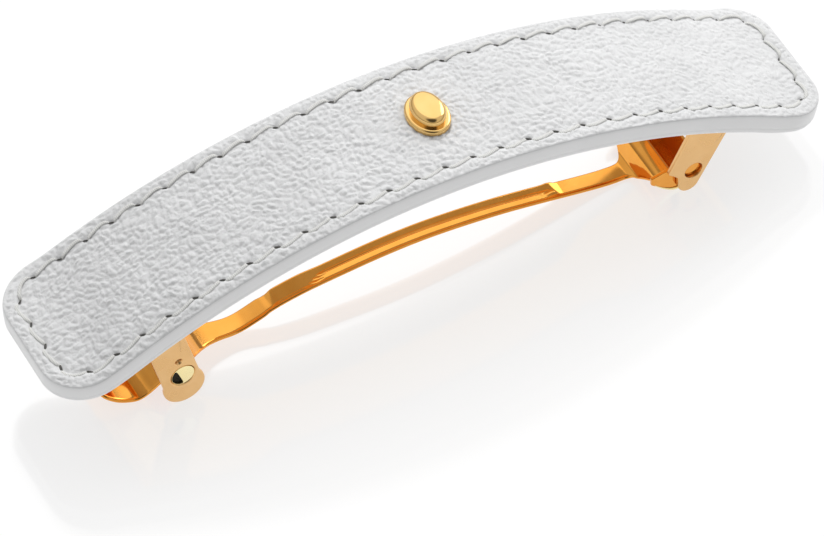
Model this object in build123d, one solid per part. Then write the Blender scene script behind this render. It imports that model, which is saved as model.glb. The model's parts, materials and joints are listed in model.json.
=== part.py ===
from build123d import *
import math
import os

# Hair clip: an arched leather strap over a sprung metal barrette, in millimetres.
# Drawn with the middle of the strap's top face at the origin, +X to the hinge, -Y to the front.
# At the end the whole clip is turned and lifted so that it stands on its four ear tips.

# Leather strap
strap_length = 100.0          # along the top face
strap_width = 17.8            # across the middle
strap_end_width = 18.5        # across the ends, before the corners are rounded
corner_radius = 4.7
arch_radius = 86.9            # top face
end_length = 8.0              # flattened end, along the top face
end_radius = 20.0             # reverse curve of a flattened end
face_thickness = 1.75
lining_thickness = 1.0
glue_gap = 0.05
edge_rounding = 0.4
end_trim = 0.1                # cut off each end to square it

# Gold stud on the strap
stud_length = 4.8
stud_width = 6.2
stud_rim_height = 0.6
stud_height = 1.8
stud_step = 0.55              # from the rim's edge in to the raised middle
stud_seat = 0.02
stud_offset_x = 0.8
stud_offset_y = 0.2

# Metal clip: one centre line for the base, ears, spring and bar
clip_offset_y = -0.5
sheet = 0.6                   # base and spring
ear_spacing = 11.6            # over the outside of a pair of ears
base_waist = 7.0              # width of the base between the ears
base_margin = 9.6             # from the strap's end to the base's end
base_broad_length = 12.0      # broad part at each end of the base
base_taper = 5.0

# Hinge ears, measured from the pin
hinge_margin = 12.3           # from the strap's end, along the top face
pin_drop = 10.7               # below the top face
pin_radius = 1.03
pin_clearance = 0.07
hinge_ear_back = 1.62         # pin to the outer edge
hinge_ear_width = 4.9
hinge_ear_taper = 0.4         # wider by this at the base
hinge_tip_radius = 1.32
hinge_tip_drop = 1.77         # pin to the tip's centre
shoulder_length = 1.6
shoulder_drop = 0.7
shoulder_slope = 0.45

# Clasp spring, measured from the middle of its rounded lobe
clasp_margin = 10.9           # from the strap's end, along the top face
lobe_drop = 14.0              # below the top face
lobe_radius = 2.5
clasp_ear_width = 4.5
clasp_ear_lean = 16.5         # from upright, in degrees
web_length = 5.2
dimple_height = 0.6
dimple_radius = 1.3
dimple_offset = 0.32          # across the ear
dimple_rise = 1.94            # above the lobe's middle
dimple_slot = 0.45            # dimple's middle to the straight edge of its slot
pit_radius = 0.35
pit_depth = 0.15
pit_rise = 4.6

# Locking bar
bar_sheet = 0.45
bar_width = 2.1
bar_waist_width = 2.6         # next to the head
bar_side_gap = 0.12           # each lug to its ear
crown_rise = 0.73             # above the line from dimple to pin
bar_arch = 3.4                # crown down to the feet of the arch
head_width = 8.8
tab_width = 8.0
tab_tip_width = 4.4
head_length = 9.0             # dimple in to the foot of the arch
tab_length = 8.3              # dimple out to the tip of the tab
tab_depth = 3.6               # dimple down to the lowest line of the tab
plate_length = 5.0            # pin in to the foot of the riser
plate_height = 0.6            # plate's top above the pin
riser_height = 3.25
plate_overrun = 1.4           # pin out to the plate's end, at its sides
plate_hollow = 0.5            # how far that end is hollowed between the lugs
lug_radius = 1.7
lug_depth = 2.9               # pin down to the lowest corner of a lug
rib_length = 32.0
rib_width = 0.8
rib_height = 0.2
pin_recess = 0.15             # pin end inside the ear's outer face


def strap_angle():
    """Angle of the top face at the start of a flattened end."""
    return (strap_length / 2 - end_length) / arch_radius


def polar(angle, depth):
    """Point under the arch at an angle from its crown and a depth below the top face."""
    radius = arch_radius - depth
    return Vector(radius * math.sin(angle), radius * math.cos(angle) - arch_radius)


def end_point(turn, depth, side):
    """Point of a flattened end, after turning back by an angle."""
    start = strap_angle()
    middle = polar(start, 0) + Vector(end_radius * math.sin(start), end_radius * math.cos(start))
    radius = end_radius + depth
    point = middle - Vector(radius * math.sin(start - turn), radius * math.cos(start - turn))
    return Vector(side * point.X, point.Y)


def strap_layer(top, bottom):
    """Arched layer between two depths below the top face, cut to the strap's outline."""
    full_turn = end_length / end_radius
    half_turn = full_turn / 2
    start = strap_angle()
    upper = [
        ThreePointArc(end_point(full_turn, top, -1), end_point(half_turn, top, -1), polar(-start, top)),
        ThreePointArc(polar(-start, top), polar(0, top), polar(start, top)),
        ThreePointArc(polar(start, top), end_point(half_turn, top, 1), end_point(full_turn, top, 1)),
    ]
    lower = [
        ThreePointArc(end_point(full_turn, bottom, 1), end_point(half_turn, bottom, 1), polar(start, bottom)),
        ThreePointArc(polar(start, bottom), polar(0, bottom), polar(-start, bottom)),
        ThreePointArc(
            polar(-start, bottom), end_point(half_turn, bottom, -1), end_point(full_turn, bottom, -1)
        ),
    ]
    ends = [
        Line(end_point(full_turn, top, 1), end_point(full_turn, bottom, 1)),
        Line(end_point(full_turn, bottom, -1), end_point(full_turn, top, -1)),
    ]
    band = Plane.XZ * make_face(upper + [ends[0]] + lower + [ends[1]])
    return extrude(band, amount=strap_end_width, both=True) & strap_prism()


def strap_prism():
    """Upright prism of the strap's outline, with hollow long sides and round corners."""
    full_turn = end_length / end_radius
    half = min(end_point(full_turn, 0, 1).X, end_point(full_turn, base_top(), 1).X) - end_trim
    outline = make_face([
        ThreePointArc((-half, -strap_end_width / 2), (0, -strap_width / 2), (half, -strap_end_width / 2)),
        Line((half, -strap_end_width / 2), (half, strap_end_width / 2)),
        ThreePointArc((half, strap_end_width / 2), (0, strap_width / 2), (-half, strap_end_width / 2)),
        Line((-half, strap_end_width / 2), (-half, -strap_end_width / 2)),
    ])
    outline = fillet(outline.vertices(), corner_radius)
    return extrude(outline, amount=strap_length, both=True)


def outline_edges(layer, upward):
    """Edges around one broad side of a strap layer, without the lines across it."""
    walls = [f for f in layer.faces() if abs(f.normal_at().Z) < 0.2]
    found = []
    for wall in walls:
        for edge in wall.edges():
            upright = abs(edge.tangent_at(0.5).Z) > 0.8
            level = wall.center().Z < edge.center().Z
            if not upright and level == upward:
                found.append(edge)
    return found


def leather_face():
    layer = strap_layer(0, face_thickness)
    return fillet(outline_edges(layer, True), edge_rounding)


def leather_lining():
    layer = strap_layer(face_thickness + glue_gap, face_thickness + glue_gap + lining_thickness)
    return fillet(outline_edges(layer, False), edge_rounding)


def ornament():
    """Plain oval stud: a rim and a raised middle with rounded shoulders."""
    rim = extrude(Ellipse(stud_length / 2, stud_width / 2), amount=stud_rim_height)
    rim = fillet(rim.edges().sort_by(Axis.Z)[-1], stud_rim_height / 2)
    middle = extrude(Ellipse(stud_length / 2 - stud_step, stud_width / 2 - stud_step), amount=stud_height)
    middle = fillet(middle.edges().sort_by(Axis.Z)[-1], (stud_height - stud_rim_height) * 0.6)
    return Pos(stud_offset_x, stud_offset_y, stud_seat) * (rim + middle)


def base_top():
    return face_thickness + glue_gap + lining_thickness + glue_gap


def arc_band(top, bottom, start, end):
    """Curved sheet in side view, between two depths and two angles under the arch."""
    middle = (start + end) / 2
    return make_face([
        ThreePointArc(polar(start, top), polar(middle, top), polar(end, top)),
        Line(polar(end, top), polar(end, bottom)),
        ThreePointArc(polar(end, bottom), polar(middle, bottom), polar(start, bottom)),
        Line(polar(start, bottom), polar(start, top)),
    ])


def across(face, inner, outer, side):
    """Side-view face made solid between two distances from the clip's centre line."""
    solid = extrude(Plane.XZ * face, amount=outer - inner)
    return Pos(0, clip_offset_y + (-inner if side < 0 else outer), 0) * solid


def under_arch(depth):
    """Side-view disc of all that lies deeper than this under the top face."""
    return Pos(0, -arch_radius) * Circle(arch_radius - depth)


def pin_point():
    return polar((strap_length / 2 - hinge_margin) / arch_radius, pin_drop)


def hinge_lean():
    return math.degrees((strap_length / 2 - hinge_margin) / arch_radius)


def hinge_ear_face():
    """Ear in side view: a tab along the strap's normal, with a shoulder and a round tip."""
    left = hinge_ear_back - hinge_ear_width
    tip_x = hinge_ear_back - hinge_tip_radius
    top = pin_drop - base_top() + sheet
    tab = make_face(Polyline(
        (left - hinge_ear_taper, top),
        (hinge_ear_back, top),
        (hinge_ear_back, -hinge_tip_drop),
        (tip_x, -hinge_tip_drop - hinge_tip_radius),
        (tip_x - hinge_tip_radius * 0.8, -hinge_tip_drop - hinge_tip_radius * 0.75),
        (left + shoulder_length, -shoulder_drop - shoulder_slope),
        (left, -shoulder_drop),
        close=True,
    ))
    tab = tab + Pos(tip_x, -hinge_tip_drop) * Circle(hinge_tip_radius)
    tab = tab - Circle(pin_radius + pin_clearance)
    pin = pin_point()
    placed = Pos(pin.X, pin.Y) * Rot(0, 0, -hinge_lean()) * tab
    return placed & under_arch(base_top())


def hinge_tip():
    """Middle of the round tip that the clip stands on."""
    lean = math.radians(hinge_lean())
    across_ear = hinge_ear_back - hinge_tip_radius
    pin = pin_point()
    return Vector(
        pin.X + across_ear * math.cos(lean) - hinge_tip_drop * math.sin(lean),
        pin.Y - across_ear * math.sin(lean) - hinge_tip_drop * math.cos(lean),
    )


def base_plate():
    """Curved sheet under the lining, broad at both ends, with the hinge ears bent down."""
    reach = (strap_length / 2 - base_margin) / arch_radius
    band = arc_band(base_top(), base_top() + sheet, -reach, reach)
    end = polar(reach, base_top()).X
    broad = ear_spacing / 2
    waist = base_waist / 2
    neck = end - base_broad_length
    outline = make_face(Polyline(
        (-end, -broad), (-neck, -broad), (-neck + base_taper, -waist),
        (neck - base_taper, -waist), (neck, -broad), (end, -broad),
        (end, broad), (neck, broad), (neck - base_taper, waist),
        (-neck + base_taper, waist), (-neck, broad), (-end, broad),
        close=True,
    ))
    prism = Pos(0, clip_offset_y, 0) * extrude(outline, amount=strap_length, both=True)
    plate = extrude(Plane.XZ * band, amount=strap_width, both=True) & prism
    ear = hinge_ear_face()
    for side in (-1, 1):
        plate = plate + across(ear, ear_spacing / 2 - sheet, ear_spacing / 2, side)
    return plate


def lobe_point():
    return polar(-(strap_length / 2 - clasp_margin) / arch_radius, lobe_drop)


def on_clasp_ear(x, y):
    """Side-view point from coordinates across and up the clasp ear."""
    lean = math.radians(clasp_ear_lean)
    lobe = lobe_point()
    return Vector(
        lobe.X + x * math.cos(lean) - y * math.sin(lean),
        lobe.Y + x * math.sin(lean) + y * math.cos(lean),
    )


def clasp_ear_face():
    top = lobe_drop
    half = clasp_ear_width / 2
    tab = Pos(0, top / 2) * Rectangle(2 * half, top) + Circle(lobe_radius)
    lobe = lobe_point()
    placed = Pos(lobe.X, lobe.Y) * Rot(0, 0, clasp_ear_lean) * tab
    return placed & under_arch(base_top() + sheet + glue_gap)


def dimple_slot_face():
    """Straight-edged opening on the outer side of a dimple."""
    disc = Circle(dimple_radius * 0.95)
    kept = Pos(-dimple_slot - dimple_radius, 0) * Rectangle(2 * dimple_radius, 4 * dimple_radius)
    centre = on_clasp_ear(dimple_offset, dimple_rise)
    return Pos(centre.X, centre.Y) * Rot(0, 0, clasp_ear_lean) * (disc & kept)


def clasp_ear(side):
    """One ear with its dimple pressed inward, its slot and its small pit."""
    outer = ear_spacing / 2
    inner = outer - sheet
    ear = across(clasp_ear_face(), inner, outer, side)
    centre = on_clasp_ear(dimple_offset, dimple_rise)
    ball_radius = (dimple_radius ** 2 + dimple_height ** 2) / (2 * dimple_height)
    ball_y = inner - dimple_height + ball_radius
    bulge = Pos(centre.X, clip_offset_y + side * ball_y, centre.Y) * Sphere(ball_radius)
    disc = Pos(centre.X, centre.Y) * Circle(dimple_radius)
    ear = ear + (bulge & across(disc, inner - dimple_height, outer - sheet / 2, side))
    hollow_y = ball_y + sheet * 0.85
    ear = ear - Pos(centre.X, clip_offset_y + side * hollow_y, centre.Y) * Sphere(ball_radius)
    ear = ear - across(dimple_slot_face(), inner - dimple_height, outer + sheet, side)
    pit = on_clasp_ear(dimple_offset / 2, pit_rise)
    pit_disc = Pos(pit.X, pit.Y) * Circle(pit_radius)
    return ear - across(pit_disc, outer - pit_depth, outer + pit_depth, side)


def clasp_spring():
    """Metal U under the base: a web and two sprung ears that end in round lobes."""
    top = base_top() + sheet + glue_gap
    lean = math.radians(clasp_ear_lean)
    rise = lobe_drop - top
    middle = on_clasp_ear(0, rise / math.cos(strap_angle() - lean)).X
    web_angle = math.asin(middle / (arch_radius - top))
    spread = web_length / 2 / arch_radius
    band = arc_band(top, top + sheet, web_angle - spread, web_angle + spread)
    spring = across(band, -ear_spacing / 2, ear_spacing / 2, 1)
    for side in (-1, 1):
        spring = spring + clasp_ear(side)
    return spring


def bar_span():
    return (pin_point() - on_clasp_ear(dimple_offset, dimple_rise)).length


def bar_lean():
    chord = pin_point() - on_clasp_ear(dimple_offset, dimple_rise)
    return math.degrees(math.atan2(chord.Y, chord.X))


def bar_line():
    """Top of the bar in side view, from the tab's tip to the plate's end.

    Measured from the pin, with +X along the line from the dimple to the pin."""
    dimple_x = -bar_span()
    middle_x = dimple_x / 2
    foot_z = crown_rise - bar_arch
    tab = [(-1.0, 0.56), (-0.79, 0.84), (-0.56, 0.96), (-0.38, 0.76), (-0.23, 0.38)]
    head = [(-0.07, 0.0), (0.08, -0.23), (0.24, -0.07), (0.39, 0.4)]
    neck = [(0.57, 0.72), (0.77, 0.80), (1.0, 0.92)]
    arch = [(-0.63, 0.71), (-0.55, 0.45), (-0.3, 0.12), (0.0, 0.0), (0.3, 0.24), (0.56, 0.67), (0.7, 0.93)]
    riser = [(-1.47, 0.0), (-1.27, 0.02), (-1.13, 0.15), (-1.03, 0.43)]
    plate = [(-0.96, 0.76), (-0.85, 0.94), (-0.68, 1.0)]
    plate_z = plate_height - riser_height
    points = [(dimple_x + a * tab_length, -b * tab_depth) for a, b in tab]
    points += [(dimple_x + a * head_length, b * foot_z) for a, b in head + neck]
    points += [(middle_x - a * dimple_x / 2, crown_rise - b * bar_arch) for a, b in arch]
    points += [(a * plate_length, plate_z + b * riser_height) for a, b in riser + plate]
    points.append((plate_overrun + plate_hollow, plate_height))
    return points


def bar_band(points, above, below):
    """Side-view strip that follows a line of points, a little above and below it."""
    path = Spline(*points)
    upper = []
    lower = []
    steps = 4 * len(points)
    for i in range(steps + 1):
        point = path.position_at(i / steps)
        tangent = path.tangent_at(i / steps)
        normal = Vector(-tangent.Y, tangent.X)
        upper.append(point + normal * above)
        lower.append(point - normal * below)
    return make_face([
        Spline(*upper),
        Line(upper[-1], lower[-1]),
        Spline(*reversed(lower)),
        Line(lower[0], upper[0]),
    ])


def bar_outline():
    """Bar in plan: tab and head, narrow strip, and the flare to the full width of the plate."""
    dimple_x = -bar_span()
    plate_half = ear_spacing / 2 - sheet - bar_side_gap
    strip = bar_width / 2
    waist = bar_waist_width / 2
    head = head_width / 2
    foot = dimple_x + head_length
    tab = [(-1.0, tab_tip_width / 2), (-0.9, tab_width * 0.38)]
    tab += [(-0.7, tab_width * 0.45), (-0.5, tab_width / 2)]
    neck = [(0.17, head), (0.29, head * 0.82), (0.42, head * 0.58), (0.57, head * 0.4), (0.74, waist * 1.06)]
    flare = [(-1.19, 0.08), (-1.1, 0.3), (-1.04, 0.56), (-0.99, 0.84)]
    ends = [(dimple_x + a * tab_length, w) for a, w in tab]
    ends += [(dimple_x - 0.2 * head_length, head * 0.99), (dimple_x, head)]
    ends += [(dimple_x + a * head_length, w) for a, w in neck]
    ends.append((foot, waist))
    step = foot + 0.4 * head_length
    narrow = step + waist - strip
    opening = [(-1.4 * plate_length, strip)]
    opening += [(a * plate_length, strip + b * (plate_half - strip)) for a, b in flare]
    opening.append((-0.965 * plate_length, plate_half))
    edges = []
    for side in (-1, 1):
        edges.append(Spline(*[(x, side * w) for x, w in ends]))
        edges.append(Polyline((foot, side * waist), (step, side * waist), (narrow, side * strip)))
        edges.append(Line((narrow, side * strip), (opening[0][0], side * strip)))
        edges.append(Spline(*[(x, side * w) for x, w in opening]))
        edges.append(Line((opening[-1][0], side * plate_half), (plate_overrun, side * plate_half)))
    tip = dimple_x - tab_length
    edges.append(Line((tip, -tab_tip_width / 2), (tip, tab_tip_width / 2)))
    hollow = (plate_overrun - plate_hollow, 0)
    edges.append(ThreePointArc((plate_overrun, -plate_half), hollow, (plate_overrun, plate_half)))
    return make_face(edges)


def lug_face():
    """Side-view lug that hangs from the plate and carries a pin."""
    corner = Polyline(
        (-plate_length, plate_height - bar_sheet),
        (-plate_length * 0.98, -lug_depth * 0.2),
        (-plate_length * 0.74, -lug_depth * 0.58),
        (-plate_length * 0.43, -lug_depth * 0.9),
        (-plate_length * 0.25, -lug_depth),
        (0, -lug_radius * 1.1),
        (0, lug_radius),
        (-plate_length * 0.44, plate_height),
        (-plate_length * 0.9, plate_height),
        close=True,
    )
    return make_face(corner) + Circle(lug_radius)


def locking_bar():
    """Bar about its pin: sheet strip, stiffening rib, two lugs and their pins."""
    points = bar_line()
    strip = extrude(Plane.XZ * bar_band(points, 0, bar_sheet), amount=ear_spacing, both=True)
    bar = strip & extrude(bar_outline(), amount=strap_length, both=True)
    centre = -bar_span() / 2
    rib_box = Pos(centre + 0.05 * rib_length, 0, 0) * Box(rib_length, rib_width, strap_length)
    rib_band = extrude(Plane.XZ * bar_band(points, rib_height, bar_sheet / 2), amount=rib_width, both=True)
    bar = bar + (rib_band & rib_box)
    outer = ear_spacing / 2 - sheet - bar_side_gap
    for side in (-1, 1):
        lug = extrude(Plane.XZ * lug_face(), amount=bar_sheet)
        bar = bar + Pos(0, side * (outer - bar_sheet / 2) + bar_sheet / 2, 0) * lug
        pin_length = ear_spacing / 2 - pin_recess - outer + bar_sheet
        pin = Rot(90, 0, 0) * Cylinder(pin_radius, pin_length)
        bar = bar + Pos(0, side * (outer - bar_sheet + pin_length / 2), 0) * pin
    pin_at = pin_point()
    return Pos(pin_at.X, clip_offset_y, pin_at.Y) * Rot(0, -bar_lean(), 0) * bar


def rest_turn():
    """Angle of the line that the lobes and the hinge ears' tips stand on."""
    lobe = lobe_point()
    tip = hinge_tip()
    chord = tip - lobe
    rise = math.asin((lobe_radius - hinge_tip_radius) / chord.length)
    return math.degrees(math.atan2(chord.Y, chord.X) + rise)


parts = {
    "leather_face": leather_face(),
    "leather_lining": leather_lining(),
    "ornament": ornament(),
    "base_plate": base_plate(),
    "clasp_spring": clasp_spring(),
    "locking_bar": locking_bar(),
}

turned = {name: Rot(0, rest_turn(), 0) * shape for name, shape in parts.items()}
box = Compound(children=[s for shape in turned.values() for s in shape.solids()]).bounding_box()
to_rest = Pos(-box.center().X, -box.center().Y, -box.min.Z)

os.makedirs("parts", exist_ok=True)
for name, shape in turned.items():
    export_step(to_rest * shape, f"parts/{name}.step")
print("turned", round(rest_turn(), 4), "degrees, moved", to_rest.position)
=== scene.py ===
import json
import math
import bmesh
import bpy
import numpy as np
from mathutils import Matrix, Vector

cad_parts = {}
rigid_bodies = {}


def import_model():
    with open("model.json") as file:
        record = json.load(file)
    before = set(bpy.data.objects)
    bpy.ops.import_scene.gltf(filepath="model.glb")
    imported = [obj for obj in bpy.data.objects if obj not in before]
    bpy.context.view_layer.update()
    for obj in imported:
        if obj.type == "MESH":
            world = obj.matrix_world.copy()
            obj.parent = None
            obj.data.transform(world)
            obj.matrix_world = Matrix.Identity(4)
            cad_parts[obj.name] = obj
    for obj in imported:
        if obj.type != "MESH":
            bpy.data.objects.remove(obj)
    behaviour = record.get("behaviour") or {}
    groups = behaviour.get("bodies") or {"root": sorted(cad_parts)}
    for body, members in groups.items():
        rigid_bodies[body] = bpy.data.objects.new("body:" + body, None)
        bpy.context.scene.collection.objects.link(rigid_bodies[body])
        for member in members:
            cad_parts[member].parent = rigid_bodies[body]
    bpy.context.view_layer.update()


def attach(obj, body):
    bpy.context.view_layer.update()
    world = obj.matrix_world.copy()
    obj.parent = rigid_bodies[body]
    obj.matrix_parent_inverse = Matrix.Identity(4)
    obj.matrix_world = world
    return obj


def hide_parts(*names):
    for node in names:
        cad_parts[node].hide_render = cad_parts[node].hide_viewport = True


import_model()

MM = 0.001
TIP = 0.0001            # radius that closes a round piece to a point

# Resting place of the clip: drawn about the middle of the strap's top face, then turned and lifted
TURN = math.radians(2.6659)
LIFT = (0.6283, 0.0, 22.2579)

# Strap sizes, in mm
LENGTH = 100.0
WIDTH_MID = 17.8
WIDTH_END = 18.5
CORNER_LEFT = 5.3
CORNER_RIGHT = 4.6
ARCH = 86.9             # radius of the top face
END_LENGTH = 8.0        # length at each end that bends back up
END_RADIUS = 20.0
THICK = 2.75
EDGE_TOP = 0.22         # how far the leather rolls over before the painted edge starts
EDGE_CREASE = 1.95      # depth of the line between the two layers
EDGE_PROFILE = [        # painted edge: depth, and how far it stands out from the outline
    (EDGE_TOP + 0.03, -0.03), (EDGE_TOP + 0.05, 0.0), (EDGE_TOP + 0.09, -0.015), (EDGE_TOP + 0.14, 0.02),
    (EDGE_TOP + 0.3, 0.05), (0.95, 0.07), (1.4, 0.07), (1.75, 0.055), (EDGE_CREASE - 0.06, 0.04),
    (EDGE_CREASE, 0.015), (EDGE_CREASE + 0.06, 0.04), (2.2, 0.045), (2.4, 0.02), (2.55, -0.04),
    (2.66, -0.12), (2.72, -0.22), (THICK, -0.36),
]
STATION_STEP = 0.155    # mesh step along the strap
CORNER_STEPS = 40
RIM_ROWS = (0, 0.03, 0.08, 0.15, 0.24, 0.35, 0.48, 0.62)   # distances in from the edge
INNER_ROWS = 58
UNDER_INSET = 0.3       # the underside's distance in from the outline
UNDER_GRID = (260, 60)

# Finished leather: heights over the plain arch, in mm
ROLL_WIDTH = 0.32
MARGIN_RISE = 0.11      # swell between the edge and the seam
SEAM_DROP, SEAM_WIDTH = 0.04, 0.35
FIELD_RISE, FIELD_WIDTH = 0.06, 0.9    # swell inside the seam
LEATHER_SINK = 0.05
GRAIN_START = 0.5       # the grain grows to its full height over this distance from the edge
PRESSED, PRESSED_AT, PRESSED_WIDTH = 0.6, 1.5, 0.45    # flatter band beside the seam

# Leather grain, in mm: cell sizes along and across, and heights
GRAIN_ORIGIN = 60.0     # keeps the pattern's zero off the strap
WARP_CELL, WARP = (3.1, 3.1), 0.7
RIPPLE_CELL, RIPPLE = (1.1, 1.1), 0.25
SWIRL_CELL, SWIRL = (9.0, 9.0), 0.9
BIG_CELL, BIG_VALLEY, BIG_HEIGHT = (0.88, 0.82), 0.32, 0.142
BIG_DOME = 0.45         # how far a big pebble falls away from its middle
SMALL_CELL, SMALL_VALLEY, SMALL_HEIGHT = (0.62, 0.52), 0.4, 0.062
WAVE_CELL, FINE_WAVE_CELL, WAVE_HEIGHT = (0.58, 0.5), (0.36, 0.36), 0.06
FINE_WAVE = 0.5         # share of the fine wave
PEBBLE_LEVEL = 0.6      # share of a pebble's height that counts as flat
CALM_FROM, CALM_TO, CALM = 22, 40, 0.25    # the grain eases off between these lengths
GRID = 256              # cells before a random pattern repeats

# Seam, in mm
STITCH_INSET = 1.84
STITCH_PITCH = 3.42
STITCH_START = 0.93
END_INSET = 0.05        # the strap is this much narrower on each side where the seam's corners start
FAR_BAND = (2, 7)       # places across the strap between which the seam softens towards the far side
RIGHT_BAND = (38, 44)   # and along it, towards the right end
CHANNEL_DEPTH = 0.085   # of the channels that the threads lie in
CHANNEL_OUTER, CHANNEL_INNER = (-0.42, -0.12), (0.05, 0.6)     # where its two walls lie across a thread
CHANNEL_START, CHANNEL_END = (0.02, 0.14), (0.88, 1.0)     # shares of the way between two holes
CHANNEL_EASE = (0.6, 0.35)     # how much shallower on the far side and at the right end
PULL_DEPTH = 0.2        # of the dip round a needle hole
PULL_SIZE = (0.4, 0.22)
THREAD_RADIUS = 0.22
THREAD_SPREAD = 0.03    # random part of a thread's radius
THREAD_BOW = 0.12       # random bend to the side
THREAD_SINK = 0.09
THREAD_RISE, THREAD_RISE_BAND = 0.05, (5, 25)      # threads lie higher to the right and on the far side
THREAD_FROM, THREAD_SPAN = 0.06, 0.9    # shares of the way between two holes
THREAD_DIVE = 0.25      # how deep a thread's ends go into their holes
DIVE_FIRST, DIVE_LAST, DIVE_SPAN = 0.2, 0.82, 0.14
THREAD_TAPER = 0.4
THREAD_FLAT = 0.5       # height of a thread's section against its width
THREAD_RINGS, THREAD_SIDES = 13, 10
HOLE_TURN = -0.5        # slant of a needle hole from the seam
HOLE_LENGTH, HOLE_WIDTH = 0.51, 0.15       # half sizes
HOLE_MIDDLE = -0.1      # height
HOLE_RINGS = ((0.6, -0.12), (1.0, -0.21))  # shares of the size, with heights
HOLE_SHRINK = (0.45, 0.25)     # how much smaller at the right and on the far side
HOLE_SHRINK_BAND = (16, 36)
HOLE_SIDES = 12

# Metal clip, in mm
CLIP_Y = -0.5           # the clip's middle line, off the strap's
CLIP_HALF = 5.8         # half width over the ears
SHEET = 0.6
PIN = (32.03, -17.76)   # x and z of the hinge
PIN_REACH = 76.2        # the hinge's distance from the arch's centre
PIN_LEAN = 24.86        # degrees
PIN_RADIUS = 1.03
PIN_HOLE = 1.1
LOBE = (-31.706, -21.255)   # x and z of the middle of a clasp ear's round end
LOBE_RADIUS = 2.5
EAR_LEAN = 16.5         # degrees
EAR_HALF = 2.25
EAR_BEVEL = 0.2
EAR_TOP = 2.95          # depth at which the hinge ears join the base
BASE_DEPTH = 2.85       # of the base sheet's top below the leather's face
BASE_REACH = 0.4649     # half of the base sheet's angle round the arch
BASE_WAIST = 3.5        # half width of its middle
BASE_FLARE = (20.68, 5.0)   # where it starts to broaden, and over what length
WEB_DEPTH = 3.5
WEB_REACH = (-0.4596, -0.3998)

# Pressed dimple and its slot, in mm in the plane of a clasp ear
DIMPLE = (0.32, 1.94)
DIMPLE_RADIUS = 1.37
DIMPLE_RISE = 0.12
DIMPLE_RING = 1.4       # radius of the ear's hole for it
DIMPLE_SHEET = 0.3
LIP_RISE, LIP_RADIUS, LIP_WIDTH = 0.07, 1.45, 0.45     # swell round the dimple
PIT = (0.16, 4.6)
PIT_SHIFT = (0.35, 0.0)
PIT_DEPTH, PIT_WALL = 0.5, (0.1, 0.5)
PIT_RIM, PIT_RIM_RADIUS, PIT_RIM_WIDTH = 0.03, 0.58, 0.1
SLOT_OFFSET = 0.82      # of the slot's middle from the dimple's
SLOT_RADIUS = 1.33
SLOT_EDGE = 0.46        # distance of the slot's straight side from its middle
SLOT_FACING = 22        # degrees
SLOT_SHADOW = (5.32, 5.45)     # dark disc behind the slot, painted shade: distances from the clip's middle
DIMPLE_BACK = (5.22, 5.29)     # metal behind that

# Locking bar, in mm: side view of its top (x, z) with half width, from the tab's tip to the plate's end
BAR_LINE = [
    (-40.2, -21.5, 1.9), (-39.7, -21.9, 2.9), (-38.6, -22.45, 3.5), (-37.4, -22.8, 3.8),
    (-36.3, -22.85, 4.0), (-35.3, -22.35, 4.1), (-34.4, -21.4, 4.3), (-33.4, -20.3, 4.4),
    (-32.4, -19.45, 4.4), (-31.3, -19.0, 4.4), (-30.3, -19.05, 4.3), (-29.4, -19.55, 3.8),
    (-28.5, -20.25, 3.0), (-27.5, -20.85, 2.2), (-26.4, -21.2, 1.65), (-25.0, -21.4, 1.4),
    (-23.4, -21.55, 1.32), (-22.2, -21.4, 1.3), (-21.0, -21.0, 1.3), (-19.6, -20.45, 1.3),
    (-18.8, -20.15, 1.2), (-17.0, -19.6, 1.2), (-14.0, -19.0, 1.2), (-10.0, -18.5, 1.2),
    (-5.0, -18.0, 1.2), (0.0, -17.8, 1.2), (5.0, -18.0, 1.2), (10.0, -18.45, 1.2),
    (14.0, -19.0, 1.2), (18.0, -19.65, 1.2), (21.0, -20.13, 1.2), (23.3, -20.45, 1.2),
    (24.7, -20.56, 1.2), (25.6, -20.57, 1.2), (26.3, -20.5, 1.3), (26.75, -20.25, 1.75),
    (27.05, -20.0, 2.5), (27.25, -19.4, 3.4), (27.45, -18.8, 4.3), (27.7, -18.2, 4.85),
    (28.05, -17.72, 5.05), (28.6, -17.35, 5.08), (29.2, -17.2, 5.08), (29.35, -17.22, 5.08),
    (29.45, -17.34, 5.08), (29.7, -17.4, 5.08), (31.0, -17.35, 5.08), (33.4, -17.3, 5.08),
]
BAR_SHEET = 0.45
BAR_OUTER = 5.08        # half width over the lugs
BAR_CORNER = 0.2
BAR_NARROW = 1.5        # half width below which the near edge is rounder
NEAR_ROUND = (0.45, 0.3)
RIB_START, RIB_END = (-18.5, -17.5), (17.2, 18.0)      # where the rib comes up and goes down again
RIB_TILT = 0.13         # slope of the strip beyond the groove
GROOVE_START, GROOVE_END = (-14.6, -11.4), (16.0, 17.4)    # where it runs in from the near edge and out
GROOVE_AT, GROOVE_PAST = 0.08, 0.3     # its place across the strip, and how far it runs past the edge
GROOVE_DEPTH, GROOVE_WIDTH = 0.10, 0.11
LUG_RADIUS = 1.7
LUG_LIP = [(27.5, -18.75, 0.14), (28.2, -19.35, 0.2), (29.3, -20.1, 0.24), (30.2, -20.42, 0.26),
           (31.0, -20.4, 0.22)]       # x, z and radius


def placed(x, y, z):
    """Drawing coordinates in mm to scene coordinates in metres."""
    c, s = math.cos(TURN), math.sin(TURN)
    x, y, z = np.asarray(x, float), np.asarray(y, float), np.asarray(z, float)
    turned = (x * c + z * s + LIFT[0], y + LIFT[1], -x * s + z * c + LIFT[2])
    return np.stack(np.broadcast_arrays(*turned), -1) * MM


def smooth_step(value, low, high):
    q = np.clip((value - low) / (high - low), 0, 1)
    return q * q * (3 - 2 * q)


def arc(x, z, radius_x, radius_z, angles):
    """Points of an ellipse round (x, z)."""
    return [(x + radius_x * math.cos(a), z + radius_z * math.sin(a)) for a in angles]


def full_turn(count):
    return [2 * math.pi * q / count for q in range(count)]


def side_word(side):
    return "near" if side < 0 else "far"


# The strap's shape

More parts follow.
